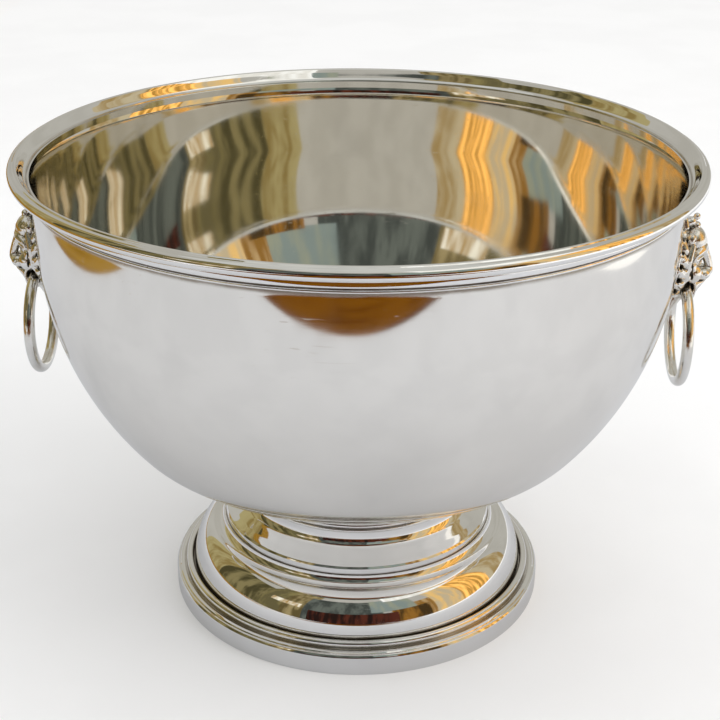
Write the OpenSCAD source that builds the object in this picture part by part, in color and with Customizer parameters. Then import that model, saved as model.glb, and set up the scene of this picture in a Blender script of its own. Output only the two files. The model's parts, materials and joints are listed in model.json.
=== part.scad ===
// Footed silver champagne bucket: a spun bowl with an applied moulded rim,
// a spun domed foot on a plinth, and a cast lion mask on each side, each with a
// drop ring that swings in the lion's mouth.
// Millimetres, +Z up. The origin is on the table under the middle of the foot.
// The masks stand on +X (right) and -X (left).

/* [Bowl] */
// Outside diameter of the bowl's straight upper wall
bowl_d = 318; // [240:1:420]
// Thickness of the spun bowl
bowl_wall = 1.2; // [0.8:0.1:2.5]
// Height of the wall from the end of its curve to the crest of the rim
wall_h = 39.6; // [26:0.1:80]
// How far the straight wall leans out by its top
wall_lean = 1.2; // [0:0.1:4]
// Angle below level at which the main curve turns into the tighter shoulder
shoulder_from = 39; // [25:1:50]
// Radius of the shoulder curve
shoulder_r = 33; // [20:1:80]
// Angle below level at which the shoulder runs out into the shallow bottom
shoulder_to = 61.5; // [55:0.5:75]

/* [Rim] */
// How far the rim's bead stands out from the bowl's wall
rim_out = 9.8; // [7:0.1:14]
// Height of the rim from the bowl's top edge to its crest
rim_h = 6; // [4:0.1:10]
// How far the bowl's top edge flares out from the wall
flare_out = 2.4; // [1:0.1:4]
// Height of the flare
flare_h = 6; // [3:0.1:10]
// Height of the flat band under the bead
band_h = 4.4; // [2:0.1:8]
// How far the flat band stands out from the wall
band_out = 2.9; // [2.6:0.1:4]
// Groove between the band and the thin reed
reed_gap = 1.2; // [0.4:0.1:3]
// Height of the thin reed
reed_h = 2; // [1:0.1:4]
// How far the thin reed stands out from the wall
reed_out = 1.3; // [0.6:0.1:3]

/* [Foot] */
// Diameter of the foot at the table
foot_d = 199; // [150:0.5:260]
// Height of the upright plinth band
plinth_h = 11.7; // [6:0.1:20]
// Thickness of the plinth band at the table
plinth_wall = 3; // [2:0.1:6]
// Thickness of the spun foot
foot_wall = 1.3; // [0.9:0.1:2.5]
// Width of the ledge from the plinth's edge in to the foot of the dome
ledge_w = 9.8; // [7:0.1:16]
// Diameter of the bead that runs round the ledge
bead_d = 3.8; // [2:0.1:6]
// Distance from the plinth's edge to the middle of the bead
bead_in = 7.2; // [4:0.1:12]
// Height of the dome above the ledge
dome_h = 23.6; // [14:0.1:40]
// Radial width of the dome, from its foot to the quirk under the cove
dome_w = 11.4; // [6:0.1:20]
// Radial width of the small cove above the dome
cove_w = 6.7; // [3:0.1:12]
// Height of the small cove above the dome
cove_h = 5.4; // [2:0.1:10]
// Height of the step's upright edge
step_h = 4; // [2:0.1:8]
// Rise of the shoulder from the step's edge to the neck's cavetto
slope_h = 5.6; // [2:0.1:10]
// Radial width of that shoulder
slope_w = 8.4; // [4:0.1:14]
// Radius of the neck's cavetto
cavetto_r = 7; // [4:0.1:12]
// How far the neck flares out from its narrowest to where it meets the bowl
seat_out = 6; // [3:0.1:12]
// Height of that flare
seat_h = 11.4; // [8:0.1:24]
// Wire diameter of the upper collar reed
collar_d = 3; // [1.5:0.1:5]
// Wire diameter of the lower collar reed
collar_low_d = 2; // [1:0.1:4]

/* [Masks and rings] */
// Outside diameter of each drop ring
ring_d = 58; // [44:0.5:80]
// Wire diameter of each drop ring
ring_wire = 5.7; // [3:0.1:8]
// Depth of the ring's hinge axis below the crest of the rim
hinge_drop = 68.6; // [60:0.1:110]
// Distance from the bowl's wall out to the hinge axis
hinge_out = 9.1; // [8:0.1:12]
// Running clearance round the ring in the lion's mouth
ring_clear = 0.35; // [0.2:0.05:1]
// Half the width of the lion's jaw, measured along the hinge axis
jaw_half = 7.5; // [5:0.1:10]
// Metal round the mouth's bore
jaw_wall = 2.2; // [1.5:0.1:4]
// How far the ring swings in towards the bowl, in degrees
swing_in = 25; // [5:1:25]
// How far the ring swings out and up, in degrees
swing_out = 90; // [30:1:100]
// Thickness of the mask's back plate
plate_t = 2; // [1:0.1:4]
// Half the width of the mask's back plate
plate_half = 19; // [14:0.5:26]
// Height of the mask's plate above the hinge axis
plate_up = 38; // [33:0.5:46]
// Depth of the mask's pointed tail below the hinge axis
plate_down = 22; // [16:0.5:28]

/* [Hidden] */
$fn = 96;

silver = [0.80, 0.80, 0.79];
silver_shade = [0.70, 0.70, 0.69];
silver_cast = [0.66, 0.65, 0.62];

// Radii of the foot's parts, from its edge in to the neck
foot_r = foot_d / 2;
bead_r = foot_r - bead_in;
dome_r = foot_r - ledge_w;
quirk_r = dome_r - dome_w;
step_r = quirk_r - cove_w;
cavetto_to = 238;
neck_r = step_r - slope_w - cavetto_r * (1 + cos(cavetto_to));
cavetto_x = neck_r + cavetto_r;
seat_r = neck_r + seat_out;

// Heights of the foot's parts, from the table up to the bowl
ledge_z = plinth_h + 0.5;
quirk_z = ledge_z + dome_h;
step_low = quirk_z + cove_h;
step_top = step_low + step_h;
slope_z = step_top + slope_h;
cavetto_z = slope_z - cavetto_r * sin(cavetto_to);
collar_low_z = cavetto_z + 3.6;
collar_z = collar_low_z + (collar_low_d + collar_d) / 2 + 0.2;
flare_low = collar_z + collar_d / 2 + 0.4;
seat_z = flare_low + seat_h;

// The bowl's three tangent curves, all in the plane of its axis
bowl_r = bowl_d / 2;
shoulder_x = (bowl_r - shoulder_r) * cos(shoulder_from);
shoulder_dz = -(bowl_r - shoulder_r) * sin(shoulder_from);
bottom_r = (shoulder_x + shoulder_r * cos(shoulder_to)) / cos(shoulder_to);
bottom_dz = shoulder_dz - shoulder_r * sin(shoulder_to) + bottom_r * sin(shoulder_to);
bottom_z = seat_z + sqrt(bottom_r * bottom_r - seat_r * seat_r);
curve_z = bottom_z - bottom_dz;
shoulder_z = curve_z + shoulder_dz;

// Heights of the rim's parts
top_r = bowl_r + wall_lean;
crest_z = curve_z + wall_h;
edge_z = crest_z - rim_h;
flare_z = edge_z - flare_h;
band_top = edge_z - 0.6;
band_low = band_top - band_h;
reed_top = band_low - reed_gap;
reed_low = reed_top - reed_h;

// Place of the right ring's hinge axis
hinge_z = crest_z - hinge_drop;
hinge_x = wall_at(hinge_z) + hinge_out;
ring_r = (ring_d - ring_wire) / 2;
sagitta = ring_r - sqrt(ring_r * ring_r - jaw_half * jaw_half);
mouth_r = ring_wire / 2 + sagitta + ring_clear;

// Outside radius of the bowl's main curve and wall at a height
function wall_at(z) = z >= curve_z ? bowl_r : sqrt(bowl_r * bowl_r - (curve_z - z) * (curve_z - z));

// Points along an arc, from angle a0 to a1 in n steps
function arc(x, z, r, a0, a1, n) =
    [for (i = [0:n]) [x + r * cos(a0 + (a1 - a0) * i / n), z + r * sin(a0 + (a1 - a0) * i / n)]];

// The bowl's profile from its lowest point to the end of its curve, t inside its outer face
function bowl_curve(t) = concat(
    arc(0, bottom_z, bottom_r - t, -90, -shoulder_to, 6),
    arc(shoulder_x, shoulder_z, shoulder_r - t, -shoulder_to + 5, -shoulder_from, 5),
    arc(0, curve_z, bowl_r - t, -shoulder_from + 4, 0, 8)
);

// Point i of 4 down the small cove over the dome, t inside its outer face
function cove(t, i) = [
    step_r + cove_w - 0.6 - (cove_w - 1.2 + t) * cos(i * 22.5),
    step_low - (cove_h - 0.2 + t) * sin(i * 22.5)
];

function reversed(p) = [for (i = [len(p) - 1:-1:0]) p[i]];

// Solid of everything inside the bowl's outer face, used to seat what is fixed to the bowl
module bowl_body() {
    rotate_extrude()
        polygon(concat(
            bowl_curve(0),
            [[top_r, flare_z], [top_r + flare_out, edge_z], [top_r + flare_out, crest_z + 5], [0, crest_z + 5]]
        ));
}

// Half-round moulding: a bead of radius r at height z that stands on a wall of radius w
module half_round(w, z, r, out) {
    rotate_extrude()
        polygon(concat([[w, z - r]], [for (a = [-80:20:80]) [w + out * cos(a), z + r * sin(a)]], [[w, z + r]]));
}

module bowl() {
    color(silver) rotate_extrude()
        polygon(concat(
            bowl_curve(0),
            [[top_r, flare_z], [top_r + flare_out, edge_z], [top_r + flare_out - bowl_wall, edge_z]],
            [[top_r - bowl_wall, flare_z]],
            reversed(bowl_curve(bowl_wall))
        ));
}

// Rolled flange: it rises from the bowl's edge to the crest and rolls over to the bead
module rim_flange() {
    lip = top_r + flare_out - bowl_wall;
    out_r = top_r + rim_out;
    roll = 2.9;
    color(silver) rotate_extrude()
        polygon(concat(
            [[lip, edge_z], [lip + 1.8, edge_z + 0.7], [lip + 3.6, crest_z - 1.3]],
            arc(out_r - 3.9, crest_z - 1.4, 1.4, 150, 80, 3),
            arc(out_r - roll, crest_z - 0.7 - roll, roll, 62, -80, 8),
            [[top_r + band_out + 0.6, edge_z - 0.6], [top_r + flare_out, edge_z - 0.6], [top_r + flare_out, edge_z]]
        ));
}

module rim_band() {
    color(silver_shade) difference() {
        rotate_extrude()
            polygon([
                [top_r - 1, band_low], [top_r + band_out - 0.4, band_low],
                [top_r + band_out, band_low + 0.4], [top_r + band_out, band_top - 0.4],
                [top_r + band_out - 0.2, band_top], [top_r - 1, band_top]
            ]);
        bowl_body();
    }
}

module rim_reed() {
    color(silver_shade) difference() {
        half_round(bowl_r - 1, (reed_low + reed_top) / 2, reed_h / 2, reed_out + wall_lean + 1);
        bowl_body();
    }
}

module foot_collar() {
    color(silver) half_round(neck_r, collar_z, collar_d / 2, collar_d / 2);
}

module foot_collar_low() {
    color(silver) half_round(neck_r, collar_low_z, collar_low_d / 2, collar_low_d / 2);
}

// Upper spinning of the foot: flared seat, neck, cavetto, shoulder and step
module foot_neck() {
    t = foot_wall;
    color(silver) difference() {
        rotate_extrude()
            polygon(concat(
                [[seat_r, seat_z + 4], [seat_r, seat_z - 1.5], [neck_r, flare_low]],
                arc(cavetto_x, cavetto_z, cavetto_r, 180, cavetto_to, 6),
                [[step_r - 0.8, step_top + 0.5], [step_r, step_top - 0.4], [step_r, step_low]],
                [[step_r - t, step_low], [step_r - t, step_top - t]],
                reversed(arc(cavetto_x, cavetto_z, cavetto_r + t, 180, cavetto_to, 6)),
                [[neck_r - t, flare_low], [seat_r - t - 0.6, seat_z - 1.5], [seat_r - t - 0.6, seat_z + 4]]
            ));
        bowl_body();
    }
}

// Lower spinning of the foot: cove, quirk and dome
module foot_dome() {
    t = foot_wall;
    centre = quirk_r - 5.5;
    half_w = dome_r - centre;
    tall = (quirk_z - ledge_z) / sqrt(1 - pow((quirk_r - centre) / half_w, 2));
    steps = 9;
    end = acos((quirk_r - centre) / half_w);
    color(silver) rotate_extrude()
        polygon(concat(
            [[step_r - t, step_low]],
            [for (i = [0:4]) cove(0, i)],
            [for (i = [0:steps]) let(a = end * (1 - i / steps)) [centre + half_w * cos(a), ledge_z + tall * sin(a)]],
            [for (i = [0:steps]) let(a = end * i / steps)
                [centre + (half_w - t) * cos(a), ledge_z + (tall - t) * sin(a)]],
            [for (i = [3:-1:1]) cove(t, i)]
        ));
}

module foot_bead() {
    color(silver) rotate_extrude()
        polygon(concat(
            [[bead_r + bead_d / 2 - 0.3, ledge_z]],
            arc(bead_r, ledge_z + bead_d / 2, bead_d / 2, -40, 220, 13),
            [[bead_r - bead_d / 2 + 0.3, ledge_z]]
        ));
}

// Plinth: an upright band with a fillet and a ledge that carries the bead and the dome
module foot_plinth() {
    inner = dome_r - foot_wall - 2;
    color(silver) rotate_extrude()
        polygon([
            [foot_r - plinth_wall, 0], [foot_r - 0.4, 0], [foot_r, 0.4], [foot_r, plinth_h - 1.4],
            [foot_r - 0.4, plinth_h - 0.4], [foot_r - 1.4, plinth_h], [foot_r - 2.2, plinth_h + 0.6],
            [foot_r - 3.4, plinth_h + 0.9], [foot_r - 4.4, plinth_h + 0.5],
            [inner, ledge_z], [inner, ledge_z - 1.6], [foot_r - plinth_wall, ledge_z - 3]
        ]);
}

// Drop ring at rest, hanging from the hinge axis
module ring_body() {
    color(silver_cast) translate([hinge_x, 0, hinge_z - ring_r])
        rotate([0, 90, 0]) rotate_extrude() translate([ring_r, 0]) circle(r = ring_wire / 2);
}

// Lumps that make up the lion, as [out from the hinge, across, up, radius]
middle_lumps = [
    [-4.5, 0, 12, 13.5], [10.2, 0, 8, 3.1], [8.6, 0, 12, 3.4], [6.4, 0, 17, 4.2], [4, 0, 22, 5.2],
    [1.6, 0, 27.5, 5], [0, 0, 33.6, 3.2], [2.2, 0, 36.4, 1.7], [-8.5, 0, -12, 4.6], [-12.5, 0, -17, 3.6]
];
side_lumps = [
    [7.4, 3.4, 4.4, 4.8], [2.2, 5.6, 21.7, 5], [1.2, 8.6, 9.3, 6], [2.2, 7.4, 15.8, 3.6], [-0.4, 12.2, 24.8, 3.6]
];
lock_r = 4.4;

module lion() {
    for (l = middle_lumps) translate([l[0], l[1], l[2]]) sphere(r = l[3], $fn = 28);
    for (s = [-1, 1]) for (l = side_lumps) translate([l[0], s * l[1], l[2]]) sphere(r = l[3], $fn = 28);
    // Mane: locks set round the face, close to the wall
    for (a = [-18:27:198]) translate([-5, 15.5 * cos(a), 12.3 + 16.5 * sin(a)]) sphere(r = lock_r, $fn = 28);
    // Jaw that closes round the ring
    rotate([90, 0, 0]) cylinder(r = mouth_r + jaw_wall, h = 2 * jaw_half, center = true);
    translate([-hinge_out - 2, -jaw_half, -2]) cube([hinge_out + 2, 2 * jaw_half, 10]);
}

// Back plate that follows the bowl: its outline tapers to a point below
module plate() {
    intersection() {
        rotate([90, 0, 90]) linear_extrude(height = bowl_r + 20)
            polygon([
                [0, hinge_z - plate_down], [7, hinge_z - 12], [plate_half - 3, hinge_z],
                [plate_half, hinge_z + 10], [plate_half - 2, hinge_z + 22], [plate_half - 9, hinge_z + 31],
                [3, hinge_z + plate_up], [-3, hinge_z + plate_up], [9 - plate_half, hinge_z + 31],
                [2 - plate_half, hinge_z + 22], [-plate_half, hinge_z + 10], [3 - plate_half, hinge_z],
                [-7, hinge_z - 12]
            ]);
        rotate_extrude() polygon(concat(
            arc(0, curve_z, bowl_r + plate_t, -shoulder_from + 4, 0, 8),
            [[bowl_r + plate_t, crest_z], [bowl_r - 30, crest_z], [bowl_r - 30, curve_z - bowl_r * 0.55]]
        ));
    }
}

// Space that the ring sweeps on each side of the jaw, from its inward to its outward limit
module ring_sweep() {
    room = ring_wire / 2 + ring_clear;
    reach = ring_d;
    translate([hinge_x, 0, hinge_z]) for (s = [0, 1]) mirror([0, s, 0]) {
        translate([0, jaw_half, 0]) rotate([-90, 0, 0]) {
            cylinder(r = room, h = reach);
            rotate([0, 0, 90 - swing_out]) rotate_extrude(angle = swing_out + swing_in) square([reach, reach]);
            rotate([0, 0, 90 - swing_out]) translate([0, -room, 0]) cube([reach, room, reach]);
            rotate([0, 0, 90 + swing_in]) cube([reach, room, reach]);
        }
    }
}

module mask_body() {
    color(silver_cast) difference() {
        union() {
            plate();
            translate([hinge_x, 0, hinge_z]) lion();
        }
        bowl_body();
        ring_sweep();
        translate([hinge_x, 0, hinge_z]) rotate([90, 0, 0])
            cylinder(r = mouth_r, h = 60, center = true);
    }
}

module mask_right() { mask_body(); }
module mask_left() { rotate([0, 0, 180]) mask_body(); }
module ring_right() { ring_body(); }
module ring_left() { rotate([0, 0, 180]) ring_body(); }

bowl();
rim_flange();
rim_band();
rim_reed();
foot_collar();
foot_collar_low();
foot_neck();
foot_dome();
foot_bead();
foot_plinth();
mask_right();
mask_left();
ring_right();
ring_left();
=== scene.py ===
"""Visual model of a footed silver champagne bucket with lion masks and drop rings.

The vessel is turned round +Z, and its masks stand on +X and -X. Sizes are in
millimetres and become metres when a mesh is made.
"""

import json
import logging
import math
from dataclasses import dataclass, field
from enum import Enum
from typing import Sequence, Union

import bpy
import numpy as np
from mathutils import Matrix, Vector


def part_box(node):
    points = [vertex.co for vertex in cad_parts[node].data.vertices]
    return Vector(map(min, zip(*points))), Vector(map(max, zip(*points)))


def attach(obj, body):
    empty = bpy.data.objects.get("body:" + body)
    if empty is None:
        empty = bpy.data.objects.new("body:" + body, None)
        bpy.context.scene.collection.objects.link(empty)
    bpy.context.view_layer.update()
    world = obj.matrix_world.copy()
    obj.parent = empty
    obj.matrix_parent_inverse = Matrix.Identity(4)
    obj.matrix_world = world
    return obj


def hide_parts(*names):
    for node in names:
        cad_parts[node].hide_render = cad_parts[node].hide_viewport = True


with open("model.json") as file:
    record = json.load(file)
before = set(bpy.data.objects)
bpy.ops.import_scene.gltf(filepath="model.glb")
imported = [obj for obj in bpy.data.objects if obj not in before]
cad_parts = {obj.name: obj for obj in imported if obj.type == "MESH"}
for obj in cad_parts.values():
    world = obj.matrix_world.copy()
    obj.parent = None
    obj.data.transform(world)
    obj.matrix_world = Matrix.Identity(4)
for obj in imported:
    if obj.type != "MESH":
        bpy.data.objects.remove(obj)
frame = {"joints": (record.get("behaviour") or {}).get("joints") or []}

log = logging.getLogger("bucket")

MM = 0.001
Point = tuple[float, float]
Value = Union["Field", float, Sequence[float]]


class Side(Enum):
    """Which side of the bowl a mask or ring is on, as its turn about +Z in degrees."""

    RIGHT = 0
    LEFT = 180

    @property
    def label(self) -> str:
        """The side's name in lower case."""
        return self.name.lower()

    @property
    def turn(self) -> Matrix:
        """The rotation that takes a piece from the right side to this one."""
        return Matrix.Rotation(math.radians(self.value), 4, "Z")


class Body(Enum):
    """The bodies that pieces ride on."""

    VESSEL = "vessel"
    RING_RIGHT = "ring_right"
    RING_LEFT = "ring_left"


class Slot(Enum):
    """The record's material slots."""

    POLISHED = "silver_polished"
    CAST = "silver_cast"


# --------------------------------------------------------------------------- shader maths


class Field:
    """A shader socket that can be used in ordinary arithmetic."""

    def __init__(self, graph: "Graph", socket: bpy.types.NodeSocket) -> None:
        """Keeps the socket and the graph that it belongs to."""
        self.graph = graph
        self.socket = socket

    def _with(self, operation: str, first: Value, second: Value) -> "Field":
        """Adds a Math node for two values."""
        return self.graph.node("ShaderNodeMath", {"operation": operation}, {0: first, 1: second})

    def __add__(self, other: Value) -> "Field":
        """Sum."""
        return self._with("ADD", self, other)

    def __sub__(self, other: Value) -> "Field":
        """Difference."""
        return self._with("SUBTRACT", self, other)

    def __mul__(self, other: Value) -> "Field":
        """Product."""
        return self._with("MULTIPLY", self, other)

    def __pow__(self, other: Value) -> "Field":
        """Power."""
        return self._with("POWER", self, other)

    __radd__ = __add__
    __rmul__ = __mul__

    def ramp(self, low: float, high: float, start: float = 0.0, stop: float = 1.0) -> "Field":
        """Smooth step between two values.

        Args:
            low: Value at which the step begins.
            high: Value at which it ends.
            start: Result at or below low.
            stop: Result at or above high.

        Returns:
            The stepped field.
        """
        return self.graph.node(
            "ShaderNodeMapRange",
            {"interpolation_type": "SMOOTHSTEP"},
            {"Value": self, "From Min": low, "From Max": high, "To Min": start, "To Max": stop},
        )


class Graph:
    """One material's node tree."""

    def __init__(self, name: str) -> None:
        """Starts an empty node material.

        Args:
            name: The material's name.
        """
        self.material = bpy.data.materials.new(name)
        self.material.use_nodes = True
        self.tree = self.material.node_tree
        self.tree.nodes.clear()

    def node(
        self,
        kind: str,
        settings: dict[str, object] | None = None,
        inputs: dict[int | str, Value] | None = None,
        out: int | str = 0,
    ) -> Field:
        """Adds a node, sets it, then fills or links its sockets.

        Args:
            kind: The node's type.
            settings: Its properties, set first. A ramp's stops go under "stops".
            inputs: Socket values or links, by number or name.
            out: The output to return.

        Returns:
            The chosen output as a field.
        """
        made = self.tree.nodes.new(kind)
        for key, value in (settings or {}).items():
            if key == "stops":
                self._stops(made.color_ramp, value)
            else:
                setattr(made, key, value)
        for key, value in (inputs or {}).items():
            if isinstance(value, Field):
                self.tree.links.new(value.socket, made.inputs[key])
            else:
                made.inputs[key].default_value = value
        return Field(self, made.outputs[out])

    @staticmethod
    def _stops(ramp: bpy.types.ColorRamp, stops: Sequence[tuple[float, Sequence[float]]]) -> None:
        """Sets a colour ramp's stops, each a position and a colour."""
        while len(ramp.elements) < len(stops):
            ramp.elements.new(1.0)
        for element, (position, colour) in zip(ramp.elements, stops):
            element.position = position
            element.color = (*colour, 1.0)

    def place(self) -> Field:
        """Position on the piece, in metres from the middle of the foot."""
        return self.node("ShaderNodeTexCoord", out="Object")

    def scaled(self, vector: Field, scale: Sequence[float], turn: Sequence[float] = (0, 0, 0)) -> Field:
        """A position turned, then scaled.

        Args:
            vector: The position.
            scale: Factor on each axis.
            turn: Rotation about each axis, in degrees.

        Returns:
            The mapped position.
        """
        turned = tuple(math.radians(a) for a in turn)
        placed = {"Vector": vector, "Rotation": turned, "Scale": scale}
        return self.node("ShaderNodeMapping", {"vector_type": "POINT"}, placed)

    def noise(self, vector: Field, scale: float, detail: float = 2.0, rough: float = 0.5) -> Field:
        """Fractal noise from 0 to 1.

        Args:
            vector: Position.
            scale: Features per metre.
            detail: Number of finer layers.
            rough: Strength of the finer layers.

        Returns:
            The noise value.
        """
        grain = {"Vector": vector, "Scale": scale, "Detail": detail, "Roughness": rough}
        return self.node("ShaderNodeTexNoise", None, grain)

    def mix(self, amount: Value, first: Value, second: Value) -> Field:
        """Colour mix.

        Args:
            amount: 0 for the first colour, 1 for the second.
            first: A colour or colour field.
            second: A colour or colour field.

        Returns:
            The mixed colour.
        """
        first, second = ((*c, 1.0) if isinstance(c, tuple) else c for c in (first, second))
        return self.node("ShaderNodeMix", {"data_type": "RGBA"}, {0: amount, 6: first, 7: second}, out=2)

    def bump(self, height: Field, distance: float, over: Field | None = None) -> Field:
        """Normal bent by a height field.

        Args:
            height: Height from 0 to 1.
            distance: Depth of the full height, in metres.
            over: A normal to add the bump to.

        Returns:
            The bent normal.
        """
        inputs: dict[int | str, Value] = {"Height": height, "Distance": distance, "Strength": 1.0}
        if over is not None:
            inputs["Normal"] = over
        return self.node("ShaderNodeBump", None, inputs)

    def surface(self, inputs: dict[int | str, Value]) -> bpy.types.Material:
        """Ends the tree with a Principled shader.

        Args:
            inputs: The shader's socket values or links.

        Returns:
            The finished material.
        """
        shader = self.node("ShaderNodeBsdfPrincipled", None, inputs, out="BSDF")
        self.node_output(shader)
        return self.material

    def node_output(self, shader: Field) -> None:
        """Links a shader to the material's output."""
        out = self.tree.nodes.new("ShaderNodeOutputMaterial")
        self.tree.links.new(shader.socket, out.inputs["Surface"])


# --------------------------------------------------------------------------- finishes


@dataclass(frozen=True)
class PolishedSilver:
    """Spun silver plate: bright, with wiping smudges, turning lines and hairline scratches."""

    name: str
    tint: tuple[float, float, float] = (0.93, 0.91, 0.865)
    dull: tuple[float, float, float] = (0.80, 0.785, 0.75)
    tarnish: tuple[float, float, float] = (0.20, 0.16, 0.11)
    gloss: float = 0.03
    haze: float = 0.08
    wave: float = 0.00003
    wave_scale: float = 14.0
    turning: float = 0.0000001

    def paint(self) -> bpy.types.Material:
        """Makes the material.

        Returns:
            The node material.
        """
        g = Graph(self.name)
        place = g.place()
        split = g.node("ShaderNodeSeparateXYZ", None, {0: place}).socket.node
        x, y, z = (Field(g, split.outputs[i]) for i in range(3))
        radius = (x * x + y * y) ** 0.5
        lathe = g.node("ShaderNodeCombineXYZ", None, {0: radius * 2400.0, 1: z * 2400.0, 2: (x + y) * 6.0})
        lines = g.noise(lathe, 1.0, 2.0, 0.6)
        smudge = g.noise(place, 11.0, 4.0, 0.55).ramp(0.46, 0.72)
        prints = g.noise(g.scaled(place, (1, 1, 0.6), (20, 35, 0)), 38.0, 2.0, 0.5).ramp(0.60, 0.76)
        hair = self._hair(g, place)
        hollow = g.node("ShaderNodeAttribute", {"attribute_name": "hollow"}, out="Fac")
        dirt = (hollow * (0.55 + 0.9 * g.noise(place, 60.0, 3.0))).ramp(0.25, 1.0)
        film = smudge * 0.7 + prints * 0.3
        colour = g.mix(film * 0.8, self.tint, self.dull)
        colour = g.mix(dirt * 0.75, colour, self.tarnish)
        rough = self.gloss + self.haze * film + 0.03 * lines + 0.10 * hair + 0.25 * dirt
        swell = g.bump(g.noise(g.scaled(place, (1, 1, 0.7)), self.wave_scale, 1.0, 0.3), self.wave)
        fine = g.bump(lines, self.turning, swell)
        normal = g.bump(hair, -0.000001, fine)
        return g.surface({"Base Color": colour, "Metallic": 1.0, "Roughness": rough, "Normal": normal})

    @staticmethod
    def _hair(g: Graph, place: Field) -> Field:
        """Hairline scratches in three directions.

        Args:
            g: The material's graph.
            place: Position on the piece.

        Returns:
            1 in a scratch, 0 elsewhere.
        """
        total: Value = 0.0
        for turn in ((12, 0, 35), (70, 20, -50), (-35, 60, 10)):
            streak = g.noise(g.scaled(place, (14, 900, 900), turn), 1.0, 1.0, 0.4)
            gate = g.noise(g.scaled(place, (1, 1, 1), turn), 22.0, 1.0).ramp(0.50, 0.62)
            total = streak.ramp(0.70, 0.76) * gate + total
        return total


@dataclass(frozen=True)
class CastSilver:
    """Cast and chased silver: softer shine, dark deposit and painted shade in the hollows, bright high
    points.
    """

    name: str
    bright: tuple[float, float, float] = (0.89, 0.88, 0.85)
    worn: tuple[float, float, float] = (0.74, 0.70, 0.62)
    # Near-black colour of the hollows: deposit on the casting together with painted shade.
    deposit_and_shade: tuple[float, float, float] = (0.05, 0.04, 0.024)
    gloss: float = 0.13

    def paint(self) -> bpy.types.Material:
        """Makes the material.

        Returns:
            The node material.
        """
        g = Graph(self.name)
        place = g.place()
        hollow = g.node("ShaderNodeAttribute", {"attribute_name": "hollow"}, out="Fac")
        mottled = g.noise(place, 320.0, 3.0, 0.6)
        patch = g.noise(place, 70.0, 2.0).ramp(0.35, 0.75)
        # Hollows are pulled towards a near-black colour: partly deposit on the casting, partly painted shade.
        dark = (hollow + 0.35 * (mottled - 0.5)).ramp(0.30, 0.85)
        colour = g.mix(patch * 0.6, self.bright, self.worn)
        colour = g.mix(dark * 0.93, colour, self.deposit_and_shade)
        pits = g.noise(place, 1100.0, 2.0, 0.6)
        grain = g.bump(pits, 0.00003)
        normal = g.bump(g.noise(place, 240.0, 2.0), 0.00012, grain)
        rough = self.gloss + 0.07 * patch + 0.35 * dark + 0.05 * pits
        return g.surface({"Base Color": colour, "Metallic": 1.0, "Roughness": rough, "Normal": normal})


@dataclass(frozen=True)
class Plain:
    """A matt or glowing surface of the studio, mottled or striped with a second colour."""

    name: str
    colour: tuple[float, float, float]
    second: tuple[float, float, float]
    glows: bool = False
    scale: tuple[float, float, float] = (6.0, 6.0, 6.0)

    def paint(self) -> bpy.types.Material:
        """Makes the material.

        Returns:
            The node material.
        """
        g = Graph(self.name)
        pattern = g.noise(g.scaled(g.place(), self.scale), 1.0, 3.0, 0.55).ramp(0.40, 0.62)
        colour = g.mix(pattern, self.colour, self.second)
        if self.glows:
            g.node_output(g.node("ShaderNodeEmission", None, {"Color": colour, "Strength": 1.0}))
            return g.material
        return g.surface({"Base Color": colour, "Roughness": 0.85})


# --------------------------------------------------------------------------- outlines


def arc(r: float, z: float, radius: float, start: float, stop: float, step: float = 1.5) -> list[Point]:
    """Points along an arc in the r-z plane.

    Args:
        r: Centre's distance from the axis.
        z: Centre's height.
        radius: Radius of the arc.
        start: First angle, in degrees from straight outwards.
        stop: Last angle.
        step: Largest angle between points.

    Returns:
        The points, both ends included.
    """
    count = max(2, math.ceil(abs(stop - start) / step) + 1)
    angles = np.radians(np.linspace(start, stop, count))
    return [(r + radius * math.cos(a), z + radius * math.sin(a)) for a in angles]


def oval(
    r: float, z: float, wide: float, tall: float, start: float, stop: float, step: float = 2.0
) -> list[Point]:
    """Points along part of an ellipse in the r-z plane.

    Args:
        r: Centre's distance from the axis.
        z: Centre's height.
        wide: Half its width.
        tall: Half its height.
        start: First angle, in degrees from straight outwards.
        stop: Last angle.
        step: Largest angle between points.

    Returns:
        The points, both ends included.
    """
    return [(r + wide * p, z + tall * q) for p, q in arc(0, 0, 1, start, stop, step)]


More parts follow.
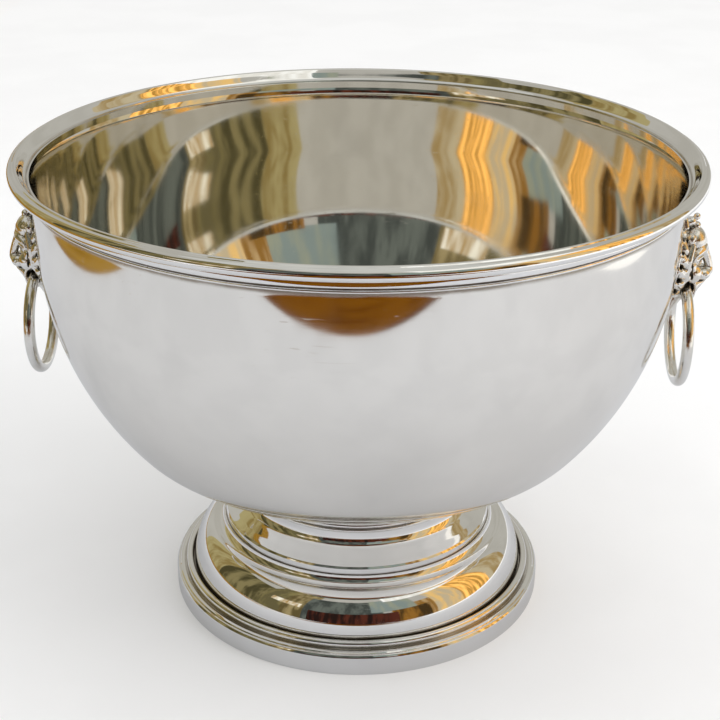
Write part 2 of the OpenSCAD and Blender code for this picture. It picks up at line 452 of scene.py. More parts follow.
def eased(corners: Sequence[tuple[float, ...]], longest: float = 3.0) -> list[Point]:
    """Rounds the corners of a closed outline and divides its long edges.

    Args:
        corners: Points as (r, z), or (r, z, radius) where the corner is rounded.
        longest: Longest edge to leave undivided.

    Returns:
        The finer outline.
    """
    given = [(c[0], c[1], c[2] if len(c) > 2 else 0.0) for c in corners]
    rounded: list[Point] = []
    for i, (r, z, radius) in enumerate(given):
        here = np.array([r, z])
        back = np.array(given[i - 1][:2]) - here
        ahead = np.array(given[(i + 1) % len(given)][:2]) - here
        if radius <= 0:
            rounded.append((r, z))
            continue
        lengths = np.linalg.norm(back), np.linalg.norm(ahead)
        u, v = back / lengths[0], ahead / lengths[1]
        half = math.acos(max(-1.0, min(1.0, float(u @ v)))) / 2
        reach = min(radius / math.tan(half), 0.48 * min(lengths))
        true = reach * math.tan(half)
        centre = here + (u + v) / np.linalg.norm(u + v) * true / math.sin(half)
        first, last = here + u * reach - centre, here + v * reach - centre
        a0, a1 = math.atan2(first[1], first[0]), math.atan2(last[1], last[0])
        sweep = (a1 - a0 + math.pi) % (2 * math.pi) - math.pi
        count = max(3, math.ceil(abs(math.degrees(sweep)) / 6))
        for k in range(count + 1):
            a = a0 + sweep * k / count
            rounded.append((centre[0] + true * math.cos(a), centre[1] + true * math.sin(a)))
    fine: list[Point] = []
    for i, start in enumerate(rounded):
        stop = rounded[(i + 1) % len(rounded)]
        gap = math.dist(start, stop)
        if gap < 1e-4:
            continue
        pieces = max(1, math.ceil(gap / longest))
        fine += [
            (start[0] + (stop[0] - start[0]) * k / pieces, start[1] + (stop[1] - start[1]) * k / pieces)
            for k in range(pieces)
        ]
    return fine


def hollows(outline: np.ndarray, others: np.ndarray, reach: float = 3.2) -> np.ndarray:
    """How far each point of an outline lies in a groove.

    Args:
        outline: The outline's points.
        others: Points of every outline of the vessel.
        reach: Distance over which a groove counts, in millimetres.

    Returns:
        A value from 0 in the open to 1 deep in a groove, for each point.
    """
    ahead, back = np.roll(outline, -1, 0) - outline, outline - np.roll(outline, 1, 0)
    travel = ahead / np.linalg.norm(ahead, axis=1)[:, None] + back / np.linalg.norm(back, axis=1)[:, None]
    travel /= np.maximum(np.linalg.norm(travel, axis=1), 1e-9)[:, None]
    after = np.roll(outline, -1, 0)
    area = (outline[:, 0] * after[:, 1] - after[:, 0] * outline[:, 1]).sum()
    outward = np.stack([travel[:, 1], -travel[:, 0]], 1) * np.sign(area)
    away = others[None] - outline[:, None]
    distance = np.linalg.norm(away, axis=2)
    rise = (away * outward[:, None]).sum(2) / np.maximum(distance, 1e-6)
    near = (distance > 0.25) & (distance < reach) & (rise > 0.25)
    return np.clip((near * rise * (1 - distance / reach)).max(1) * 1.8 - 0.2, 0, 1)


# --------------------------------------------------------------------------- meshes


def new_object(name: str, mesh: bpy.types.Mesh) -> bpy.types.Object:
    """Links a new object for a mesh.

    Args:
        name: The object's name.
        mesh: Its mesh.

    Returns:
        The object.
    """
    made = bpy.data.objects.new(name, mesh)
    bpy.context.scene.collection.objects.link(made)
    return made


def as_mesh(
    name: str, points: np.ndarray, faces: Sequence[Sequence[int]], sharp: float | None
) -> bpy.types.Mesh:
    """Builds a smooth-shaded mesh.

    Args:
        name: The mesh's name.
        points: Vertices in metres.
        faces: Vertex numbers of each face.
        sharp: Angle in degrees over which an edge stays sharp, or None for none.

    Returns:
        The mesh.
    """
    mesh = bpy.data.meshes.new(name)
    mesh.from_pydata(points.tolist(), [], [tuple(f) for f in faces])
    mesh.validate()
    mesh.shade_smooth()
    if sharp is not None:
        mesh.set_sharp_from_angle(angle=math.radians(sharp))
    mesh.update()
    return mesh


def mark(mesh: bpy.types.Mesh, name: str, values: np.ndarray) -> None:
    """Stores one number at each vertex of a mesh.

    Args:
        mesh: The mesh.
        name: The attribute's name.
        values: One number for each vertex.
    """
    layer = mesh.attributes.new(name, "FLOAT", "POINT")
    layer.data.foreach_set("value", np.ascontiguousarray(values, np.float32))


def turned(name: str, outline: Sequence[Point], groove: np.ndarray, steps: int = 288) -> bpy.types.Object:
    """Turns a closed outline round the axis.

    Args:
        name: The object's name.
        outline: Points as (r, z) in millimetres. Points on the axis close the shape there.
        groove: How deep in a groove each point lies.
        steps: Number of steps round the axis.

    Returns:
        The turned object.
    """
    points = np.array(outline, float)
    nxt = np.roll(points, -1, 0)
    if (points[:, 0] * nxt[:, 1] - nxt[:, 0] * points[:, 1]).sum() < 0:
        points, groove = points[::-1], groove[::-1]
    count = len(points)
    angles = np.arange(steps) * 2 * math.pi / steps
    vertices, marks, first = [], [], []
    total = 0
    for (r, z), g in zip(points, groove):
        first.append(total)
        if r < 1e-6:
            vertices.append(np.array([[0.0, 0.0, z]]))
            total += 1
            marks.append(np.full(1, g))
            continue
        vertices.append(np.stack([r * np.cos(angles), r * np.sin(angles), np.full(steps, z)], 1))
        marks.append(np.full(steps, g))
        total += steps
    faces: list[tuple[int, ...]] = []
    for i in range(count):
        j = (i + 1) % count
        low, high = points[i, 0] < 1e-6, points[j, 0] < 1e-6
        if low and high:
            continue
        for k in range(steps):
            m = (k + 1) % steps
            if low:
                faces.append((first[i], first[j] + m, first[j] + k))
            elif high:
                faces.append((first[i] + k, first[i] + m, first[j]))
            else:
                faces.append((first[i] + k, first[i] + m, first[j] + m, first[j] + k))
    mesh = as_mesh(name, np.concatenate(vertices) * MM, faces, 32.0)
    mark(mesh, "hollow", np.concatenate(marks))
    return new_object(name, mesh)


def settle(piece: bpy.types.Object, body: Body, slot: Slot, finish: bpy.types.Material, *nodes: str) -> None:
    """Dresses a piece and ties it to the frame.

    Args:
        piece: The new object.
        body: The body that it rides on.
        slot: The record's slot for its finish. Not used.
        finish: Its material.
        nodes: The CAD nodes that it stands for.
    """
    piece.data.materials.append(finish)
    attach(piece, body.value)
    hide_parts(*nodes)
    log.info("%s: %d faces, stands for %s", piece.name, len(piece.data.polygons), ", ".join(nodes))


# --------------------------------------------------------------------------- turned vessel


@dataclass
class Bowl:
    """The spun bowl: shallow bottom, tight shoulder, round side and straight upper wall."""

    radius: float = 159.0
    wall: float = 1.2
    lean: float = 1.2
    shoulder_from: float = 39.0
    shoulder_radius: float = 33.0
    shoulder_to: float = 61.5
    wall_tilt: float = 2.24
    flare_out: float = 2.4
    flare_high: float = 6.0
    low: float = field(init=False)
    edge: float = field(init=False)

    def __post_init__(self) -> None:
        """Takes the bowl's lowest and highest points from the frame."""
        low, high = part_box("bowl")
        self.low, self.edge = low.z / MM, high.z / MM

    @property
    def shoulder_r(self) -> float:
        """Distance of the shoulder curve's centre from the axis."""
        return (self.radius - self.shoulder_radius) * math.cos(math.radians(self.shoulder_from))

    @property
    def bottom_radius(self) -> float:
        """Radius of the shallow bottom."""
        return self.shoulder_r / math.cos(math.radians(self.shoulder_to)) + self.shoulder_radius

    @property
    def bottom_z(self) -> float:
        """Height of the centre of the bottom's curve."""
        return self.low + self.bottom_radius

    @property
    def shoulder_z(self) -> float:
        """Height of the centre of the shoulder's curve."""
        gap = self.bottom_radius - self.shoulder_radius
        return self.bottom_z - gap * math.sin(math.radians(self.shoulder_to))

    @property
    def curve_z(self) -> float:
        """Height of the centre of the main curve."""
        gap = self.radius - self.shoulder_radius
        return self.shoulder_z + gap * math.sin(math.radians(self.shoulder_from))

    @property
    def top_radius(self) -> float:
        """Radius of the wall's top."""
        return self.radius + self.lean

    def face(self, inset: float) -> list[Point]:
        """One face of the bowl, from the axis to the foot of the flare.

        Args:
            inset: Distance inside the outer face.

        Returns:
            Points from the lowest to the highest.
        """
        return [
            *arc(0, self.bottom_z, self.bottom_radius - inset, -90, -self.shoulder_to, 0.5),
            *arc(self.shoulder_r, self.shoulder_z, self.shoulder_radius - inset,
                 -self.shoulder_to, -self.shoulder_from, 1.0)[1:],
            *arc(0, self.curve_z, self.radius - inset, -self.shoulder_from, -self.wall_tilt, 0.75)[1:],
        ]

    def outline(self) -> list[Point]:
        """The bowl's whole section."""
        flare = self.edge - self.flare_high
        outer, inner = self.face(0), self.face(self.wall)
        outer[0], inner[0] = (0.0, outer[0][1]), (0.0, inner[0][1])
        top = self.top_radius
        return eased([
            *outer,
            (top, flare, 14), (top + self.flare_out, self.edge, 0.2),
            (top + self.flare_out - self.wall, self.edge, 0.2), (top - self.wall, flare, 14),
            *reversed(inner),
        ])


@dataclass
class Rim:
    """The applied rim: rolled flange, flat band and thin reed."""

    bowl: Bowl
    roll: float = 2.9
    band_out: float = 2.9
    band_high: float = 4.4
    band_gap: float = 0.6
    reed_gap: float = 1.2
    reed_high: float = 2.0
    reed_out: float = 1.3
    crest: float = field(init=False)
    reach: float = field(init=False)

    def __post_init__(self) -> None:
        """Takes the rim's crest and reach from the frame."""
        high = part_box("rim_flange")[1]
        self.crest, self.reach = high.z / MM, high.x / MM

    def flange(self) -> list[Point]:
        """Section of the flange: it rises from the bowl's edge and rolls over to a bead."""
        lip = self.bowl.top_radius + self.bowl.flare_out - self.bowl.wall
        edge, crest = self.bowl.edge, self.crest
        roll = arc(self.reach - self.roll, crest - 0.8 - self.roll, self.roll, 66, -80, 6)
        return eased([
            (lip, edge), (lip + 1.1, edge + 0.9, 2.5), (lip + 2.9, crest - 1.9, 5.0),
            (lip + 4.1, crest - 0.1, 1.1), (self.reach - 3.3, crest, 0.9),
            (self.reach - 2.6, crest - 0.75, 0.5),
            *roll,
            (self.reach - self.roll - 1.6, edge - 0.2, 0.5),
            (lip + self.bowl.wall + 1.0, edge - 0.6, 0.2),
            (lip + self.bowl.wall, edge - 0.6), (lip + self.bowl.wall, edge),
        ], 1.5)

    def band(self) -> list[Point]:
        """Section of the flat band under the bead."""
        top = self.bowl.edge - self.band_gap
        low, back = top - self.band_high, self.bowl.top_radius - 0.4
        out = self.bowl.top_radius + self.band_out
        return eased([
            (back, low), (out - 0.3, low, 0.3), (out, low + 0.5, 0.6), (out + 0.1, (low + top) / 2, 6.0),
            (out, top - 0.5, 0.6), (out - 0.3, top, 0.3), (back, top),
        ], 1.5)

    def reed(self) -> list[Point]:
        """Section of the thin reed under the band."""
        high = self.bowl.edge - self.band_gap - self.band_high - self.reed_gap
        middle, half = high - self.reed_high / 2, self.reed_high / 2
        wall = self.bowl.radius + self.bowl.lean * 0.85
        return eased([
            (wall - 0.4, middle - half),
            *oval(wall, middle, self.reed_out, half, -90, 90, 9),
            (wall - 0.4, middle + half),
        ], 1.5)


@dataclass
class Foot:
    """The spun foot: flared neck with two reeds, step, cove, dome, bead and plinth."""

    bowl: Bowl
    wall: float = 1.3
    plinth_high: float = 11.7
    plinth_wall: float = 3.0
    ledge_wide: float = 9.8
    ledge_rise: float = 0.5
    bead: float = 3.8
    bead_in: float = 7.2
    dome_high: float = 23.6
    dome_wide: float = 11.4
    dome_tuck: float = 5.5
    cove_wide: float = 6.7
    cove_high: float = 5.4
    step_high: float = 4.0
    slope_high: float = 5.6
    slope_wide: float = 8.4
    cavetto: float = 7.0
    cavetto_to: float = 238.0
    collar: float = 3.0
    collar_low: float = 2.0
    seat_out: float = 6.0
    seat_high: float = 11.4
    radius: float = field(init=False)

    def __post_init__(self) -> None:
        """Takes the foot's radius from the frame and works out its other places."""
        self.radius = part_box("foot_plinth")[1].x / MM
        turn = math.radians(self.cavetto_to)
        self.dome_r = self.radius - self.ledge_wide
        self.quirk_r = self.dome_r - self.dome_wide
        self.step_r = self.quirk_r - self.cove_wide
        self.neck_r = self.step_r - self.slope_wide - self.cavetto * (1 + math.cos(turn))
        self.ledge_z = self.plinth_high + self.ledge_rise
        self.quirk_z = self.ledge_z + self.dome_high
        self.step_z = self.quirk_z + self.cove_high
        self.step_top = self.step_z + self.step_high
        self.cavetto_z = self.step_top + self.slope_high - self.cavetto * math.sin(turn)
        self.collar_low_z = self.cavetto_z + 3.6
        self.collar_z = self.collar_low_z + (self.collar + self.collar_low) / 2 + 0.2
        self.flare_z = self.collar_z + self.collar / 2 + 0.4

    def reed(self, z: float, thick: float) -> list[Point]:
        """Section of a half-round reed on the neck.

        Args:
            z: Height of its middle.
            thick: Its height.

        Returns:
            The outline.
        """
        half, wall = thick / 2, self.neck_r
        return eased([(wall - 0.3, z - half), *arc(wall, z, half, -90, 90, 8), (wall - 0.3, z + half)], 1.5)

    def neck(self) -> list[Point]:
        """Section of the upper spinning, from its seat under the bowl to the step's edge."""
        seat_r, t = self.neck_r + self.seat_out, self.wall
        swell = oval(seat_r, self.flare_z, self.seat_out, self.seat_high, 180, 102, 5)[::-1]
        inner = oval(seat_r, self.flare_z, self.seat_out + t, self.seat_high - 0.6, 180, 100, 5)
        middle = self.neck_r + self.cavetto
        return eased([
            *swell,
            *arc(middle, self.cavetto_z, self.cavetto, 180, self.cavetto_to, 4),
            (self.step_r - 4.2, self.step_top + 2.55, 16.0), (self.step_r - 0.7, self.step_top + 0.35, 0.9),
            (self.step_r, self.step_top - 0.7, 0.5),
            (self.step_r, self.step_z + 0.2, 0.4), (self.step_r - 0.4, self.step_z),
            (self.step_r - t, self.step_z), (self.step_r - t, self.step_top - t),
            *arc(middle, self.cavetto_z, self.cavetto + t, self.cavetto_to, 180, 6),
            *inner,
        ], 2.0)

    def dome(self) -> list[Point]:
        """Section of the lower spinning: small cove, quirk and dome."""
        t, centre = self.wall, self.quirk_r - self.dome_tuck
        half = self.dome_r - centre
        end = math.degrees(math.acos(self.dome_tuck / half))
        tall = self.dome_high / math.sin(math.radians(end))
        cove_r = self.step_r + self.cove_wide - 0.6
        return eased([
            (self.step_r - t, self.step_z), (self.step_r + 0.6, self.step_z, 0.3),
            *oval(cove_r, self.step_z, self.cove_wide - 1.2, self.cove_high - 0.2, 184, 268, 4),
            (self.quirk_r - 0.3, self.quirk_z + 0.1),
            *oval(centre, self.ledge_z, half, tall, end, 0, 1.5),
            *oval(centre, self.ledge_z, half - t, tall - t, 0, end, 4),
            *oval(cove_r, self.step_z, self.cove_wide - 1.2 + t, self.cove_high - 0.2 + t, 268, 196, 8),
        ], 2.0)

    def wire(self) -> list[Point]:
        """Section of the bead on the ledge."""
        middle, half = self.radius - self.bead_in, self.bead / 2
        return eased([
            (middle + half - 0.3, self.ledge_z), *arc(middle, self.ledge_z + half, half, -40, 220, 8),
            (middle - half + 0.3, self.ledge_z),
        ], 1.5)

    def plinth(self) -> list[Point]:
        """Section of the plinth: upright band, fillet and ledge."""
        r, high, back = self.radius, self.plinth_high, self.dome_r - self.wall - 2
        return eased([
            (r - self.plinth_wall, 0, 0.5), (r - 0.5, 0, 0.5), (r - 0.05, 0.9, 2.0), (r, high / 2, 30.0),
            (r - 0.05, high - 1.6, 2.0), (r - 0.9, high - 0.15, 1.3), (r - 1.7, high, 0.4),
            (r - 2.2, high + 0.55, 0.5), (r - 3.3, high + 0.9, 0.8), (r - 4.5, high + 0.5, 0.5),
            (back, self.ledge_z), (back, self.ledge_z - 1.6), (r - self.plinth_wall, self.ledge_z - 3),
        ], 2.0)


@dataclass
class Vessel:
    """All the turned pieces: bowl, rim and foot."""

    bowl: Bowl
    rim: Rim
    foot: Foot

    def outlines(self) -> dict[str, list[Point]]:
        """Every turned section, under the name of the CAD node that it stands for."""
        return {
            "bowl": self.bowl.outline(),
            "rim_flange": self.rim.flange(),
            "rim_band": self.rim.band(),
            "rim_reed": self.rim.reed(),
            "foot_collar": self.foot.reed(self.foot.collar_z, self.foot.collar),
            "foot_collar_low": self.foot.reed(self.foot.collar_low_z, self.foot.collar_low),
            "foot_neck": self.foot.neck(),
            "foot_dome": self.foot.dome(),
            "foot_bead": self.foot.wire(),
            "foot_plinth": self.foot.plinth(),
        }

    def build(self) -> None:
        """Turns and dresses every piece."""
        body_finish = PolishedSilver("bowl_silver").paint()
        bright = PolishedSilver(
            "trim_silver", (0.93, 0.925, 0.91), (0.85, 0.84, 0.82), gloss=0.02, haze=0.04, wave=0.00002
        ).paint()
        outlines = self.outlines()
        every = np.array([p for o in outlines.values() for p in o])
        for node, outline in outlines.items():
            groove = hollows(np.array(outline), every)
            piece = turned("turned_" + node, outline, groove)
            settle(piece, Body.VESSEL, Slot.POLISHED, body_finish if node == "bowl" else bright, node)


# --------------------------------------------------------------------------- lion masks


class Clay:
    """A block of modelling clay on a grid, shaped by adding and carving round forms.

    It holds one half of a form that is the same on both sides. x is out from the ring's
    hinge axis, y is across and z is up.
    """

    def __init__(self, low: Sequence[float], high: Sequence[float], pitch: float) -> None:
        """Makes an empty block.

        Args:
            low: Lowest corner in millimetres. Its y is 0.
            high: Highest corner.
            pitch: Size of a grid cell.
        """
        self.low, self.pitch = np.array(low, float), pitch
        counts = [int(round((b - a) / pitch)) + 1 for a, b in zip(low, high)]
        self.axes = [low[i] + pitch * np.arange(counts[i]) for i in range(3)]
        self.x, self.y, self.z = np.meshgrid(*self.axes, indexing="ij", sparse=True)
        self.depth = np.full(counts, 50.0)
        self.shift = np.zeros(3)

    def _near(self, points: np.ndarray, reach: float) -> tuple[slice, ...]:
        """The part of the grid within reach of some points."""
        spans = []
        for i in range(3):
            a = int(math.floor((points[:, i].min() - reach - self.low[i]) / self.pitch))
            b = int(math.ceil((points[:, i].max() + reach - self.low[i]) / self.pitch)) + 1
            spans.append(slice(max(a, 0), max(b, 0)))
        return tuple(spans)

    def _grid(self, part: tuple[slice, ...]) -> tuple[np.ndarray, ...]:
        """The x, y and z of part of the grid."""
        x, y, z = (axis[span] for axis, span in zip(self.axes, part))
        return x[:, None, None], y[None, :, None], z[None, None, :]

    def _apply(self, part: tuple[slice, ...], shape: np.ndarray, blend: float, carve: bool) -> None:
        """Joins a form's depth field to the block, or cuts it out, with a soft blend."""
        now = self.depth[part]
        a, b = (-now if carve else now), shape
        h = np.clip(0.5 + 0.5 * (a - b) / max(blend, 1e-6), 0, 1)
        joined = a * (1 - h) + b * h - blend * h * (1 - h)
        self.depth[part] = -joined if carve else joined

    def egg(
        self, centre: Sequence[float], radii: Sequence[float], blend: float = 1.0, carve: bool = False
    ) -> None:
        """Adds or carves an egg shape.

        Args:
            centre: Its middle.
            radii: Its half sizes.
            blend: Width of the soft join.
            carve: True to cut it out.
        """
        centre = np.add(centre, self.shift)
        part = self._near(centre[None], max(radii) + blend + 1.5)
        shares = [(axis - c) / r for axis, c, r in zip(self._grid(part), centre, radii)]
        k = np.sqrt(shares[0] ** 2 + shares[1] ** 2 + shares[2] ** 2)
        self._apply(part, (k - 1) * min(radii) * (0.6 + 0.4 * np.clip(k, 0, 1)), blend, carve)

    def strand(
        self,
        points: Sequence[Sequence[float]],
        radii: Sequence[float],
        blend: float = 0.8,
        carve: bool = False,
    ) -> None:
        """Adds or carves a tapered strand along a bent line.

        Args:
            points: The line's points.
            radii: Its radius at each point.
            blend: Width of the soft join.
            carve: True to cut it out.
        """
        line = np.array(points, float) + self.shift
        part = self._near(line, max(radii) + blend + 1.5)
        x, y, z = self._grid(part)
        best = np.full(np.broadcast(x, y, z).shape, 99.0)
        for a, b, ra, rb in zip(line[:-1], line[1:], radii[:-1], radii[1:]):
            run = b - a
            t = ((x - a[0]) * run[0] + (y - a[1]) * run[1] + (z - a[2]) * run[2]) / max(run @ run, 1e-9)
            t = np.clip(t, 0, 1)
            gap = np.sqrt(sum((v - a[i] - t * run[i]) ** 2 for i, v in enumerate((x, y, z))))
            best = np.minimum(best, gap - (ra + (rb - ra) * t))
        self._apply(part, best, blend, carve)

    def both_halves(self) -> tuple[np.ndarray, np.ndarray]:
        """The whole depth field and its lowest corner, with the half mirrored across y."""
        whole = np.concatenate([self.depth[:, :0:-1], self.depth], 1)
        corner = self.low.copy()
        corner[1] = -self.pitch * (self.depth.shape[1] - 1)
        return whole, corner


def softened(values: np.ndarray, width: int) -> np.ndarray:
    """Averages a field over a cube of cells.

    Args:
        values: The field.
        width: Cells on each side of the middle one.

    Returns:
        The averaged field.
    """
    for axis in range(3):
        padded = np.pad(values, [(width + 1, width) if i == axis else (0, 0) for i in range(3)], mode="edge")
        running = np.cumsum(padded, axis)
        count = running.shape[axis]
        upper = running.take(range(2 * width + 1, count), axis)
        lower = running.take(range(0, count - 2 * width - 1), axis)
        values = (upper - lower) / (2 * width + 1)
    return values


def skinned(depth: np.ndarray, corner: np.ndarray, pitch: float) -> tuple[np.ndarray, np.ndarray, np.ndarray]:
    """Finds the surface of a depth field as a net of quads.

    Args:
        depth: Field that is negative inside.
        corner: Place of its first sample.
        pitch: Distance between samples.

    Returns:
        Vertices in millimetres, quads, and each vertex's place in the grid.
    """
    cells = np.array(depth.shape) - 1
    total, count = np.zeros((*cells, 3)), np.zeros(cells)
    loops = []
    for axis in range(3):
        a = np.take(depth, range(depth.shape[axis] - 1), axis)
        b = np.take(depth, range(1, depth.shape[axis]), axis)
        where = np.argwhere((a < 0) != (b < 0))
        here = tuple(where.T)
        place = where.astype(float)
        place[:, axis] += a[here] / (a[here] - b[here])
        others = [o for o in range(3) if o != axis]
        corners = []
        for first, second in ((0, 0), (-1, 0), (-1, -1), (0, -1)):
            cell = where.copy()
            cell[:, others[0]] += first
            cell[:, others[1]] += second
            corners.append(cell)
            np.add.at(total, tuple(cell.T), place)
            np.add.at(count, tuple(cell.T), 1)
        flip = (a[here] >= 0) ^ (axis == 1)
        loops.append((corners, flip))
    used = count > 0
    number = np.full(cells, -1)
    number[used] = np.arange(used.sum())
    grid = total[used] / count[used][:, None]
    quads = []
    for corners, flip in loops:
        ring = np.stack([number[tuple(c.T)] for c in corners], 1)
        ring[flip] = ring[flip][:, ::-1]
        quads.append(ring)
    return grid * pitch + corner, np.concatenate(quads), grid


@dataclass
class LionMask:
    """A cast lion's head on a shaped back plate, with a mane, a beard and two beads on its crown."""

    bowl: Bowl
    hinge: Vector
    pitch: float = 0.4
    jaw: float = 7.5
    wire: float = 2.85
    ring_middle: float = 26.15
    room: float = 0.35
    ring_in: float = 25.0
    ring_out: float = 90.0
    face: tuple[float, float, float] = (0.5, 0.0, -1.5)

    def __post_init__(self) -> None:
        """Works out where the bowl's wall is, seen from the ring's hinge axis."""
        self.hinge_r, self.hinge_z = self.hinge.x / MM, self.hinge.z / MM

    def off_wall(self, clay: Clay) -> np.ndarray:
        """Distance outside the bowl's wall, over the grid."""
        drop = np.minimum(clay.z + self.hinge_z - self.bowl.curve_z, 0)
        return np.sqrt((clay.x + self.hinge_r) ** 2 + clay.y**2 + drop**2) - self.bowl.radius

    def wall_x(self, y: float, z: float) -> float:
        """Place of the wall at a point of the mask.

        Args:
            y: Distance across.
            z: Height over the hinge axis.

        Returns:
            x of the wall, in millimetres from the hinge axis.
        """
        drop = min(z + self.hinge_z - self.bowl.curve_z, 0)
        return math.sqrt(self.bowl.radius**2 - drop**2 - y**2) - self.hinge_r

    def plate(self, clay: Clay) -> None:
        """Lays the back plate, which tapers to a point below."""
        half = np.interp(clay.axes[2], [-22, -12, 0, 10, 22, 31, 38], [0.5, 6.6, 15.0, 18.4, 16.4, 9.8, 3.0])
        edge = clay.y - half[None, None, :]
        ends = np.maximum(clay.z - 38, -22 - clay.z)
        clay.depth = np.maximum(np.maximum(self.off_wall(clay) - 1.7, edge * 0.8), ends) + 0 * clay.depth

    def skull(self, clay: Clay) -> None:
        """Builds up the head: forehead, nose, muzzle, brows, cheeks, jaw and ears."""
        clay.egg((-5.5, 0, 12.5), (10.0, 12.8, 15.5), 2.0)
        clay.egg((2.2, 0, 25.0), (6.2, 7.4, 7.0), 2.5)
        clay.egg((1.6, 7.0, 9.4), (5.0, 4.4, 5.6), 2.0)
        nose = [(5.8, 0, 25.0), (7.6, 0, 20.0), (9.7, 0, 15.3), (11.1, 0, 11.2), (11.1, 0, 8.6)]
        clay.strand(nose, [2.8, 2.5, 2.2, 2.1, 2.1], 1.5)
        clay.egg((11.3, 0, 9.0), (2.0, 3.2, 1.9), 0.8)
        clay.egg((7.9, 3.2, 7.9), (3.7, 3.7, 3.1), 1.2)
        brow = [(7.4, 1.6, 21.6), (6.3, 4.8, 21.0), (3.2, 8.4, 19.9), (0.2, 10.6, 17.6)]
        clay.strand(brow, [2.0, 2.0, 1.7, 1.1], 1.2)
        clay.strand([(8.7, 0, 5.6), (2.0, 0, 1.4), (0, 0, 0)], [2.7, 4.5, 5.7], 1.0)
        clay.strand([(7.8, 2.5, 5.2), (1.8, 4.4, 1.4), (0, self.jaw - 2.0, 0)], [2.2, 4.2, 5.6], 1.0)
        clay.egg((-0.6, 8.6, 27.6), (2.6, 3.1, 3.5), 0.9)
        clay.egg((1.7, 9.4, 27.2), (1.9, 2.0, 2.3), 0.5, carve=True)

    def features(self, clay: Clay) -> None:
        """Cuts and models the eyes, nose and mouth."""
        clay.egg((5.6, 6.4, 16.0), (3.3, 3.7, 2.9), 0.7, carve=True)
        clay.egg((2.5, 6.2, 15.5), (2.5, 2.7, 2.2), 0.25)
        upper_lid = [(6.6, 3.2, 15.4), (6.2, 5.2, 17.6), (4.1, 7.9, 17.4), (1.6, 9.8, 14.9)]
        clay.strand(upper_lid, [0.6, 0.85, 0.85, 0.5], 0.3)
        lower_lid = [(6.4, 3.2, 14.8), (5.2, 5.4, 13.2), (3.5, 7.7, 13.1), (1.6, 9.8, 14.5)]
        clay.strand(lower_lid, [0.6, 0.8, 0.8, 0.5], 0.3)
        clay.egg((5.0, 5.9, 15.7), (0.8, 0.8, 0.8), 0.2, carve=True)
        beside_nose = [(8.5, 2.9, 17.2), (9.0, 3.1, 14.4), (10.0, 3.0, 11.6), (9.4, 5.2, 10.9)]
        clay.strand(beside_nose, [0.9, 1.1, 0.9, 0.4], 0.6, carve=True)
        clay.egg((13.2, 1.5, 8.7), (1.1, 0.85, 0.7), 0.3, carve=True)
        clay.strand([(13.4, 0, 7.6), (12.2, 0, 5.6)], [0.45, 0.5], 0.3, carve=True)
        for lift in (0.0, 1.6):
            whisker = [(11.2 - 0.2 * lift, 3.4, 6.9 + lift), (8.6, 6.4, 6.6 + lift)]
            clay.strand(whisker, [0.22, 0.3], 0.25, carve=True)
        behind_cheek = [(1.6, 10.4, 21.0), (-0.4, 11.7, 15.4), (0.6, 11.0, 9.4), (1.4, 8.9, 6.0)]
        clay.strand(behind_cheek, [0.8, 1.2, 0.9, 0.7], 0.7, carve=True)
        clay.strand([(9.3, 0, 24.2), (7.6, 0, 29.4)], [0.4, 0.3], 0.6, carve=True)
        line = np.abs(clay.z - self.face[2] - 4.7 - 0.012 * (clay.x - 10) ** 2) - 0.5
        reach = np.maximum(np.maximum(1.0 - clay.x, clay.y - 8.4), -(clay.depth + 1.9))
        clay.depth = np.maximum(clay.depth, -np.maximum(line, reach))
        clay.egg((-1.0, 8.2, 2.3), (2.9, 4.4, 4.5), 0.4, carve=True)

    def lock(
        self, clay: Clay, angle: float, inner: float, outer: float, lift: float, thick: float, swirl: float
    ) -> None:
        """Adds one lock of the mane, with fine strands on it.

        Args:
            clay: The block.
            angle: Direction from the middle of the face, in degrees from straight across.
            inner: Where it starts, as a share of the face's size.
            outer: Where it ends.
            lift: How far its root stands out from the wall.
            thick: Its radius at the middle.
            swirl: How far its tip curls round, in degrees.
        """
        for spread, size in ((0.0, thick), (-4.5, thick * 0.5), (4.5, thick * 0.5)):
            line, radii = [], []
            for share in (0.0, 0.3, 0.6, 0.85, 1.0):
                a = math.radians(angle + spread * (1 - 0.6 * share) + swirl * share**2)
                far = inner + (outer - inner) * share
                y, z = max(14.2 * far * math.cos(a), 0.0), 12.0 + 16.5 * far * math.sin(a)
                proud = lift * (1 - share) ** 0.8 + (0.9 if size == thick else 0.9 + thick * 0.55)
                line.append((self.wall_x(y, z) + proud, y, z))
                radii.append(size * (0.75 + 0.9 * share * (1 - share)) * (1 - 0.75 * share**3))
            clay.strand(line, radii, 0.7 if size == thick else 0.3)

